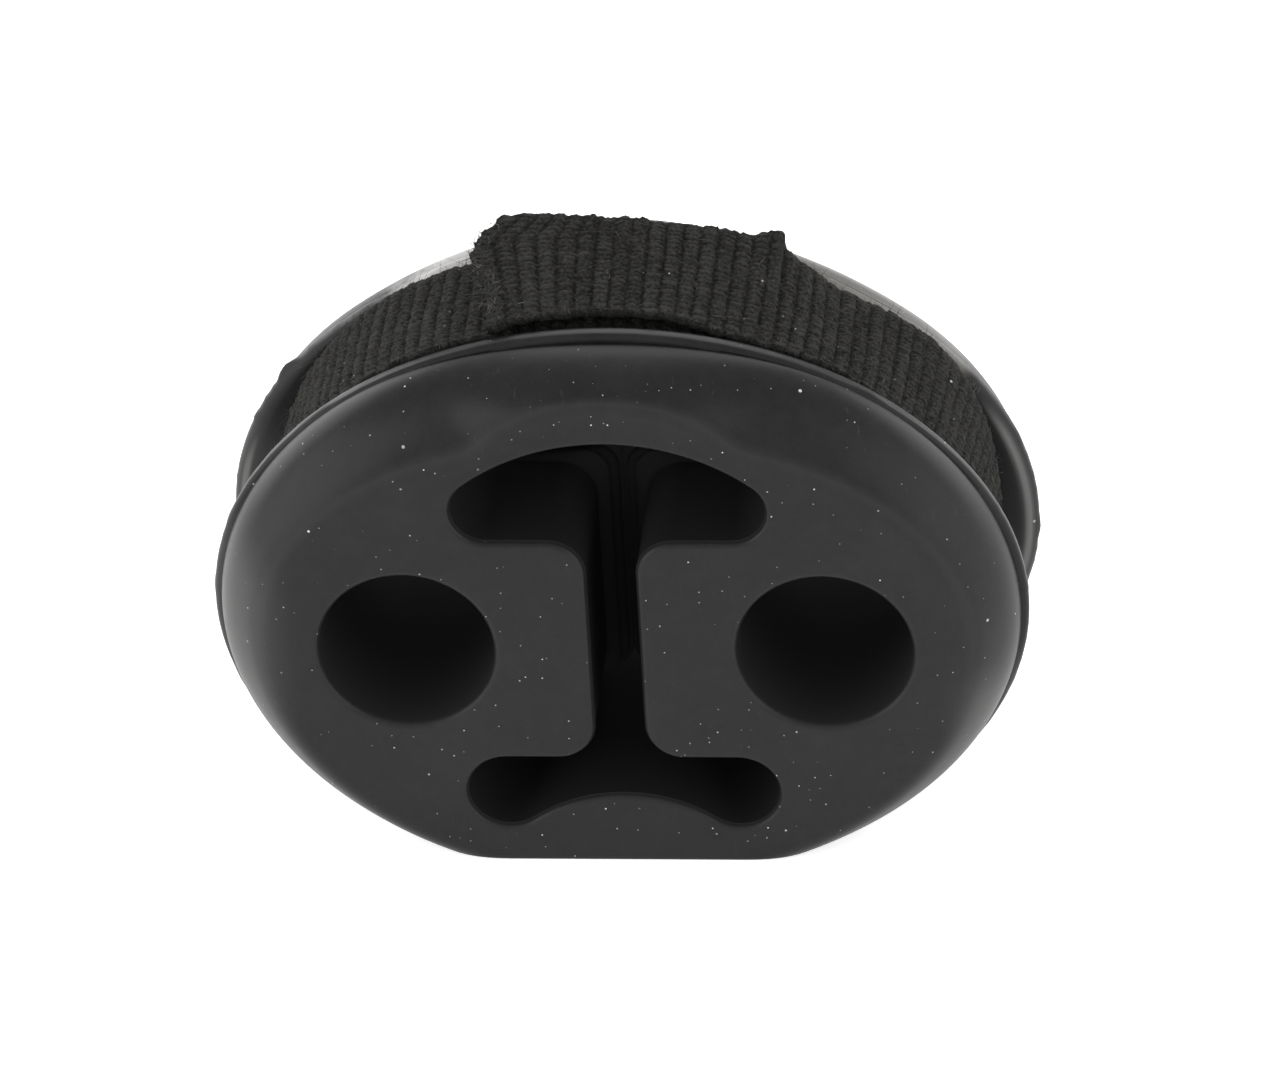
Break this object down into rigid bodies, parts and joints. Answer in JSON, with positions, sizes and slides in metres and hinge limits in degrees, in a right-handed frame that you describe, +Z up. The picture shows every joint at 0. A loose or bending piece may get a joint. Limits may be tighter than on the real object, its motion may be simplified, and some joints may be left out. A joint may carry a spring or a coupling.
{
  "type": "exhaust hanger",
  "caption": "Oval rubber exhaust hanger with two pin holes, an I-shaped void, bevelled flanges and a woven belt round its edge.",
  "frame": {"origin": "middle of the flat foot, at the bottom of the part", "axes": "+X from the left pin hole to the right one, +Y along the pins from the front face to the rear face, +Z up"},
  "size_m": [0.0652, 0.0274, 0.0484],
  "materials": {
    "moulded_rubber": "satin moulded black rubber with specks of pale dust",
    "woven_belt": "matt black woven belt with ribs across its width"
  },
  "bodies": {
    "root": {"rubber_body": "moulded_rubber", "fabric_belt": "woven_belt"}
  },
  "joints": []
}
